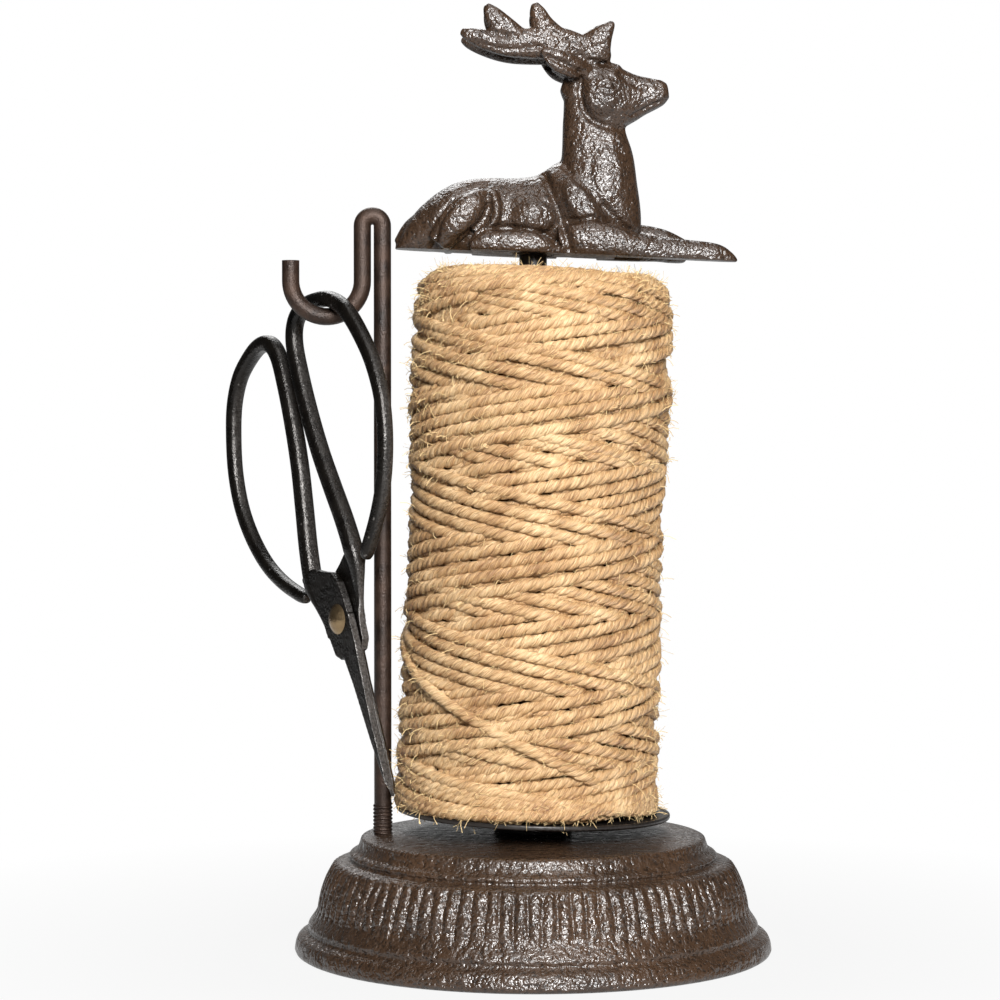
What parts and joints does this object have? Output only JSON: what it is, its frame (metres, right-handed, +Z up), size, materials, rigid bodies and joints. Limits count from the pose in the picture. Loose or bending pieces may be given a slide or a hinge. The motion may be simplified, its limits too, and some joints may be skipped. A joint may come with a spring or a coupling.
{
  "type": "string holder",
  "caption": "Cast-iron twine stand with a lying stag finial, a turntable that carries a wound roll of jute twine, and forged scissors hanging on a rod hook.",
  "frame": {"origin": "middle of the foot, on the table", "axes": "+Z up along the spindle, the front is -Y, +X is the way the stag looks"},
  "size_m": [0.1931, 0.1644, 0.3263],
  "materials": {
    "iron": "brown lacquer over a sand-cast skin",
    "black_steel": "black satin paint",
    "steel": "plain zinc",
    "rod": "thin brown-black lacquer",
    "paper_tube": "wound paper",
    "jute": "natural hairy fibre",
    "forged": "black forge skin with bright edges",
    "rivet": "dull hammered dome"
  },
  "bodies": {
    "stand": {"base": "iron", "spindle": "black_steel", "spindle_washer": "steel", "spindle_nut": "steel", "plate_collar": "black_steel", "hook_rod": "rod", "hook_washer": "steel", "hook_nut": "steel"},
    "reel": {"plate": "black_steel", "paper_core": "paper_tube", "twine_roll": "jute", "twine_winding": "jute"},
    "finial": {"stag": "iron", "stag_bush": "steel"},
    "scissors_hung": {"scissors_hung_half": "forged", "scissors_rivet": "rivet"},
    "scissors_front": {"scissors_front_half": "forged"}
  },
  "joints": [
    {"name": "reel_spin", "type": "hinge", "parent": "stand", "child": "reel", "pos_m": [0, 0, 0.04792], "axis": [0.0349, 0, 0.9994], "continuous": true},
    {"name": "stag_lift", "type": "slide", "parent": "stand", "child": "finial", "axis": [0, 0, 1], "range_m": [0, 0.03]},
    {"name": "scissors_swing", "type": "hinge", "parent": "stand", "child": "scissors_hung", "pos_m": [-0.07115, 0, 0.21859], "axis": [1, 0, 0], "range_deg": [-30, 5]},
    {"name": "scissors_open", "type": "hinge", "parent": "scissors_hung", "child": "scissors_front", "pos_m": [-0.06456, -0.00941, 0.11497], "axis": [-0.8192, -0.5736, 0], "range_deg": [0, 38]}
  ]
}
